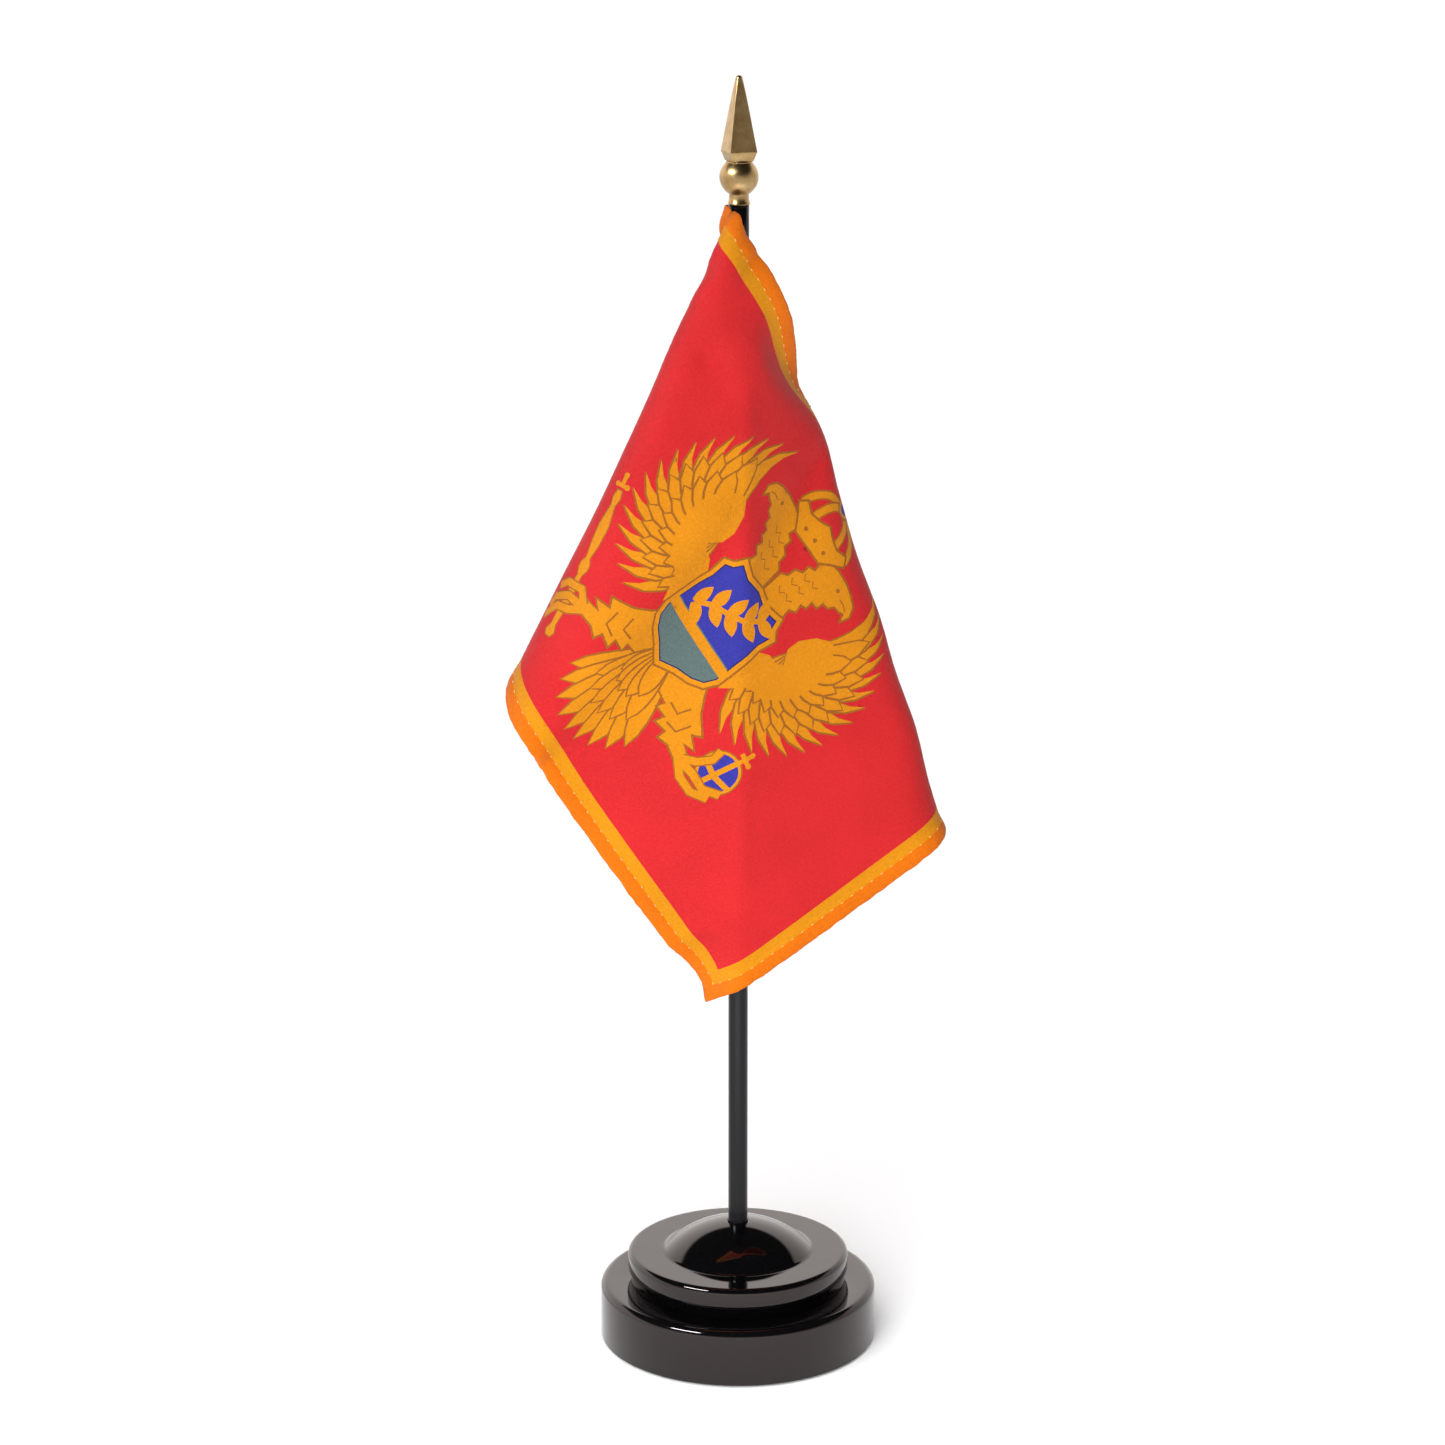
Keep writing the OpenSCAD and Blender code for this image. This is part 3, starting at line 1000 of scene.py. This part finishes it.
def sceptre(art):
    """A turned rod with a small cross, held by the claw towards the staff."""
    top = Vector((-38.2, -3.4))
    end = Vector((-20.4, -33.8))
    parts = [(0, 0.5), (0.05, 0.9), (0.1, 0.45), (0.24, 1.25), (0.36, 1.05), (0.46, 0.5), (0.5, 1.2),
             (0.54, 1.2), (0.58, 0.5), (0.75, 0.95), (0.92, 0.6), (0.97, 1.3), (1, 0.7)]
    across = Vector((-(end - top).y, (end - top).x)).normalized()
    left = [tuple(top.lerp(end, f) + across * w) for f, w in parts]
    right = [tuple(top.lerp(end, f) - across * w) for f, w in parts]
    art.outlined(left + right[::-1], edge=0.25)
    ahead = (top - end).normalized()
    for way, size in ((ahead, 2.4), (across, 1.2), (-across, 1.2)):
        middle = top + ahead * 1.2
        tip = middle + way * size
        art.add("gold", stroke([tuple(middle), tuple(tip)], 0.9))
        art.add("gold", circle(tip.x, tip.y, 0.62, 10))


def orb(art):
    """A blue ball with gold bands and a small cross, held by the other claw."""
    x, y, r = 28.8, -18.6, 4.7
    for ink, more in (("line", 0.55), ("gold", 0.25), ("blue", -0.35)):
        art.add(ink, circle(x, y, r + more, 28))
    art.add("gold", stroke([(x - r, y - 0.4), (x, y - 1.2), (x + r, y - 0.4)], 1.3))
    art.add("gold", stroke([(x - 0.6, y - r), (x, y), (x + 0.6, y + r)], 1.3))
    cross = [((x + 0.6, y + r), (x + 1.2, y + r + 3.4)), ((x - 0.7, y + r + 1.8), (x + 2.6, y + r + 1.3))]
    for start, stop in cross:
        art.add("gold", stroke([start, stop], 1))
        art.add("gold", circle(*stop, 0.65, 10))


def claws(art):
    """Toes round the sceptre and the orb."""
    left_toes = [
        [(-21.8, -23.4), (-24.8, -22), (-28.2, -24.2), (-29.2, -26.8)],
        [(-21.8, -24), (-25.4, -25.4), (-27.6, -28.8), (-27, -31.2)],
        [(-21, -24.2), (-22.8, -27), (-25.2, -29), (-26, -33.6)],
    ]
    right_toes = [
        [(21.6, -23.2), (24, -21), (25.6, -18), (25, -15.4)],
        [(21.6, -23.8), (25.6, -23.2), (30, -23.4), (33.4, -21)],
        [(21, -24), (24.8, -25.8), (29, -25.8), (32.6, -23.6)],
    ]
    for toes in (left_toes, right_toes):
        for ink, width in (("line", 2.3), ("gold", 1.7)):
            for toe in toes:
                art.add(ink, stroke(toe, width))


def flag_print():
    """All shapes of the print, in flat flag coordinates."""
    art = Print()
    for draw in (wing, tail, leg, head, crown, sceptre, orb, claws, shield):
        draw(art)
    placed = []
    for ink, points in art.shapes:
        outline = [(CENTRE[0] + x, CENTRE[1] - y) for x, y in points]
        placed.append((ink, outline if signed_area(outline) > 0 else outline[::-1]))
    return placed


# ---- Printed field ----

def rectangle(left, upper, right, lower):
    return [(left, upper), (right, upper), (right, lower), (left, lower)]


def printed_mesh(spacing):
    """Flat triangles that follow every edge of the print, with the ink of each."""
    edge_in = 1.2
    left, right = 0.0, FLY - edge_in
    upper, lower = edge_in, HOIST - edge_in
    shapes = [
        ("border", rectangle(left, upper, right, lower)),
        ("red", rectangle(HOIST_BORDER, BORDER, FLY - BORDER, HOIST - BORDER)),
        *flag_print(),
    ]
    rng = np.random.default_rng(3)
    verts = []
    s_values = np.arange(left + spacing, right - spacing / 2, spacing)
    t_values = np.arange(upper + spacing, lower - spacing / 2, spacing)
    for i, s in enumerate(s_values):
        for t in t_values:
            jitter = rng.uniform(-0.12, 0.12, 2) * spacing
            stagger = spacing * 0.5 * (i % 2) - spacing * 0.25
            verts.append(Vector((s + jitter[0], t + stagger + jitter[1])))
    faces = []
    for _, points in shapes:
        start = len(verts)
        for k, (x, y) in enumerate(points):
            bx, by = points[(k + 1) % len(points)]
            parts = max(1, int(hypot(bx - x, by - y) / (spacing * 1.5)))
            for m in range(parts):
                verts.append(Vector((x + (bx - x) * m / parts, y + (by - y) * m / parts)))
        faces.append(list(range(start, len(verts))))
    flat, _, triangles, _, _, owners = delaunay_2d_cdt(verts, [], faces, 1, 1e-4, True)
    inks = [shapes[max(owner)][0] if owner else "red" for owner in owners]
    return np.array([tuple(v) for v in flat]), triangles, inks


def add_print(mesh, flat_points, face_inks):
    """Stores each face's ink and each point's flat place on the mesh."""
    ink = mesh.color_attributes.new("ink", "FLOAT_COLOR", "CORNER")
    colours = np.empty((len(mesh.loops), 4), np.float32)
    for poly, name in zip(mesh.polygons, face_inks):
        colours[poly.loop_start:poly.loop_start + poly.loop_total] = INKS[name]
    ink.data.foreach_set("color", colours.ravel())
    flat = mesh.attributes.new("flat", "FLOAT_VECTOR", "POINT")
    stored = np.zeros((len(mesh.vertices), 3), np.float32)
    stored[:, :2] = flat_points
    flat.data.foreach_set("vector", stored.ravel())


def flag_field(cloth, material):
    """The printed cloth as two skins joined round the edge."""
    flat, triangles, inks = printed_mesh(1.05)
    count = len(flat)
    front = cloth.at(flat, CLOTH_HALF)
    back = cloth.at(flat, -CLOTH_HALF)
    faces = [tuple(tri) for tri in triangles]
    faces += [tuple(i + count for i in reversed(tri)) for tri in triangles]
    edges = [edge for tri in triangles for edge in zip(tri, tri[1:] + tri[:1])]
    both_ways = set(edges)
    rim = [(a, b) for a, b in edges if (b, a) not in both_ways]
    faces += [(b, a, a + count, b + count) for a, b in rim]
    face_inks = inks + inks + ["border"] * len(rim)
    verts = np.concatenate([front, back])
    piece = new_piece("flag_field", verts, faces, "flag", "field_cloth", material, ["flag_cloth"])
    add_print(piece.data, np.concatenate([flat, flat]), face_inks)
    return piece


# ---- Hems ----

STITCH_IN = 3.3
STITCH_PITCH = 2.65


def edge_point(side, along, inward):
    """Flat place on a side's hem: along its edge, and inwards from the fold."""
    if side == "top":
        return along, inward
    if side == "bottom":
        return along, HOIST - inward
    return FLY - inward, along


# (inward, height) points round a folded hem, front first
HEM_SECTION = [
    (0.0, 0.0), (0.08, 0.2), (0.35, 0.36), (0.9, 0.44), (1.7, 0.44), (2.4, 0.36), (2.95, 0.22),
    (STITCH_IN, 0.13), (3.7, 0.1), (4.4, 0.0), (HEM, -0.12), (HEM + 0.12, -0.24), (HEM + 0.02, -0.4),
    (4.5, -0.46), (3.8, -0.42), (STITCH_IN, -0.28), (2.8, -0.4), (1.9, -0.5), (0.9, -0.44),
    (0.35, -0.36), (0.08, -0.2),
]


def hem(name, side, start, end, cloth, material, node, lift=0.0):
    """A folded hem with soft puckers between its stitches."""
    rng = np.random.default_rng({"top": 11, "bottom": 12, "fly": 13}[side])
    count = int((end - start) / (STITCH_PITCH / 4))
    waver = np.convolve(rng.normal(0, 1, count + 5), np.ones(3) / 3, "same")[2:count + 3]
    unevenness = 0.12
    flat = []
    heights = []
    for k in range(count + 1):
        along = start + (end - start) * k / count
        pucker = cos(tau * along / STITCH_PITCH)
        for inward, height in HEM_SECTION:
            shift = unevenness * waver[k] * max(0.0, 1 - inward / 2.5)
            seam = exp(-((inward - STITCH_IN) / 0.7) ** 2)
            flat.append(edge_point(side, along, inward + shift))
            raised = height + lift * (1 if height >= 0 else -1)
            heights.append(raised * (1 + unevenness * pucker * (1 - seam)))
    size = len(HEM_SECTION)
    faces = band(count + 1, size, capped=True)
    if side != "top":
        faces = [tuple(reversed(f)) for f in faces]
    verts = cloth.at(np.array(flat), np.array(heights))
    piece = new_piece(name, verts, faces, "flag", "hem_cloth", material, [node])
    # Out to the stitch line the hem gets the deeper hem ink, which is partly painted shade; past it, the
    # border ink
    inks = []
    for i in range(size):
        middle = (HEM_SECTION[i][0] + HEM_SECTION[(i + 1) % size][0]) / 2
        inks.append("hem" if middle < STITCH_IN else "border")
    add_print(piece.data, np.array(flat), inks * count + ["hem", "hem"])
    return piece


def stitches(cloth, material):
    """Thread of the hem seams, on both faces, one short loop a stitch."""
    ring = 8
    bows = 5
    length = 0.7
    thick = 0.13
    arch = 0.09
    taper = 0.85
    seams = [("top", 4.5, FLY - 2), ("bottom", 1.5, FLY - 2), ("fly", 2, HOIST - 2)]
    parts = []
    for side, start, end in seams:
        for n in range(int((end - start) / STITCH_PITCH)):
            for face, late, clear in ((1, 0.5, 0.17), (-1, 1.0, 0.3)):
                middle = start + (n + late) * STITCH_PITCH
                loop = []
                for b in range(bows):
                    f = b / (bows - 1) * 2 - 1
                    size = thick * sqrt(1 - taper * f * f)
                    lift = clear + arch * (1 - f * f)
                    for i in range(ring):
                        a = tau * i / ring
                        flat = edge_point(side, middle + f * length / 2, STITCH_IN + size * cos(a))
                        loop.append((*flat, face * (lift + size * sin(a))))
                parts.append((loop, band(bows, ring, capped=True)))
    verts, faces = join_meshes(parts)
    table = np.array(verts)
    placed = cloth.at(table[:, :2], table[:, 2])
    return new_piece("hem_stitches", placed, faces, "flag", "hem_cloth", material)


def angle_between(a, b):
    """From b to a the short way, in radians."""
    return (a - b + pi) % tau - pi


def sleeve(material):
    """Sleeve round the staff, drawn to a seam along the hoist edge of the field.

    Its top is pulled down on the side that the flag hangs to."""
    segments = 72
    rows = 96
    slant = 11.0
    high_side = radians(195)
    wall = 0.3
    loose = STAFF_R + 0.5
    bottom = SLEEVE_TOP - HOIST * STRETCH[1]
    rng = np.random.default_rng(5)
    wave = rng.uniform(0, tau, 6)
    outer = []
    inner = []
    flat = []
    for k in range(rows + 1):
        f = k / rows
        for i in range(segments):
            a = tau * i / segments
            from_high = abs(angle_between(a, high_side))
            away = min(max((from_high - 0.6) / 1.6, 0), 1)
            top = SLEEVE_TOP + 0.2 - slant * away * away * (3 - 2 * away)
            z = top - (top - bottom) * f
            nose = exp(-(angle_between(a, TAB_DIR) / 0.3) ** 2) * (TAB_R - loose)
            bulge = 1.7 * exp(-(from_high / 0.7) ** 2) * exp(-((z - SLEEVE_TOP + 4.5) / 4) ** 2)
            crease = 0.1 * sin(3 * a + 5 * f + wave[0]) * sin(9 * f + wave[1])
            crease += 0.06 * sin(7 * a - 14 * f + wave[2]) * sin(23 * f + wave[3])
            r = loose + nose + bulge + max(crease, -0.12)
            outer.append((*polar(r, a), z))
            inner.append((*polar(r - wall, a), z))
            flat.append((a * 2.6, z))
    faces = band(rows + 1, segments)
    count = len(outer)
    faces = [tuple(reversed(f)) for f in faces] + [tuple(i + count for i in f) for f in faces]
    last = rows * segments
    for i in range(segments):
        j = (i + 1) % segments
        faces.append((i, j, j + count, i + count))
        faces.append((last + j, last + i, last + i + count, last + j + count))
    piece = new_piece("staff_sleeve", outer + inner, faces, "flag", "hem_cloth", material, ["hoist_sleeve"])
    # The sleeve gets the same deeper hem ink, which is partly painted shade
    add_print(piece.data, np.array(flat + flat), ["hem"] * len(faces))
    return piece


# ---- Stage, light and camera ----

FLOOR_HALF = 12.0
EYE = (0, -0.85, 0.37267)
EYE_DOWN, EYE_LEFT = 14.954, 0.238
LENS = 98.84


def floor():
    look = Look("pale_floor", Roughness=0.9, Specular_IOR_Level=0.1)
    cloudy = look.noise(look.coords(), 0.01)
    look.feed(Base_Color=look.mix(cloudy, (0.94, 0.95, 0.96, 1), (0.97, 0.98, 0.99, 1)))
    mesh = bpy.data.meshes.new("floor")
    corners = [(FLOOR_HALF * x, FLOOR_HALF * y, 0) for x, y in ((-1, -1), (1, -1), (1, 1), (-1, 1))]
    mesh.from_pydata(corners, [], [(0, 1, 2, 3)])
    mesh.materials.append(look.material)
    new_object("floor", mesh)


def studio_world():
    """Pale walls, brighter behind and to the left, and a dark ceiling that starts higher behind."""
    world = bpy.data.worlds.new("studio")
    world.use_nodes = True
    tree = world.node_tree
    place = new_node(tree, "ShaderNodeTexCoord").outputs["Generated"]
    split = new_node(tree, "ShaderNodeSeparateXYZ", {0: place})
    ceiling = span(tree, split.outputs["Y"], 0.2, 0.6, -0.4, 0.4)
    above = math_node(tree, "SUBTRACT", split.outputs["Z"], ceiling)
    walls = span(tree, split.outputs["Y"], 0.6, 1.75, -1.0, 1.0)
    walls = math_node(tree, "ADD", walls, span(tree, split.outputs["X"], 0.35, -0.35, -1.0, 1.0))
    bright = math_node(tree, "MULTIPLY", walls, span(tree, above, 1.0, 0.02, -0.02, 0.03))
    tint = {0: (1.0, 0.94, 0.91), "Scale": bright}
    warm = new_node(tree, "ShaderNodeVectorMath", tint, operation="SCALE")
    background = tree.nodes["Background"]
    tree.links.new(warm.outputs[0], background.inputs["Color"])
    background.inputs["Strength"].default_value = 1.0
    bpy.context.scene.world = world


def new_light(name, kind, power):
    data = bpy.data.lights.new(name, kind)
    data.energy = power
    return new_object(name, data)


def sun(name, elevation, azimuth, strength):
    """A wide soft sun, not seen in reflections. Azimuth 0 shines from the front, 90 from the right."""
    light = new_light(name, "SUN", strength)
    light.data.angle = radians(60)
    light.rotation_euler = (radians(90 - elevation), 0, radians(azimuth))
    light.visible_glossy = False


def panel(name, place, target, size, power, in_reflections):
    """A panel that either shows only in reflections or only lights matt surfaces."""
    light = new_light(name, "AREA", power)
    light.data.shape = "RECTANGLE"
    light.data.size, light.data.size_y = size
    light.location = place
    aim = Vector(target) - Vector(place)
    light.rotation_euler = aim.to_track_quat("-Z", "Y").to_euler()
    light.visible_diffuse = not in_reflections
    light.visible_glossy = in_reflections
    return light


def camera():
    data = bpy.data.cameras.new("camera")
    data.lens = LENS
    data.sensor_width = 36
    eye = new_object("camera", data)
    eye.location = EYE
    eye.rotation_euler = (radians(90 - EYE_DOWN), 0, radians(EYE_LEFT))
    bpy.context.scene.camera = eye


def build():
    base_shell(gloss_black("polished_black", linear(5, 5, 6)))
    base_cap(gloss_black("polished_black_top", linear(4, 4, 5)))
    base_pad(felt())
    staff(satin_black())
    finial(gilt())
    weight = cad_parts["base_weight"]
    weight.data.materials.clear()
    weight.data.materials.append(cast_iron())

    cloth = Cloth(hang_flag())
    field = flag_field(cloth, printed_cloth("printed_knit"))
    folded = printed_cloth("folded_knit")
    hems = [
        hem("hem_top", "top", 1.0, FLY - 1.5, cloth, folded, "top_hem"),
        hem("hem_bottom", "bottom", 0.3, FLY - 1.5, cloth, folded, "bottom_hem"),
        hem("hem_fly", "fly", 0.0, HOIST, cloth, folded, "fly_hem", 0.12),
    ]
    seams = stitches(cloth, thread())
    tube = sleeve(folded)


build()
floor()
studio_world()
sun("key", 40, -38, 2.3)
sun("fill", 80, 20, 1.0)
panel("low", (-0.04, -0.32, 0.11), (0, 0, 0.11), (0.2, 0.14), 1.2, False)
highlight = panel("highlight", (-0.62, -0.52, 0.75), (0, 0, 0.02), (0.43, 0.14), 12.0, True)
highlight.data.color = (0.85, 0.92, 1.0)
camera()
bpy.context.scene.view_settings.view_transform = "Standard"
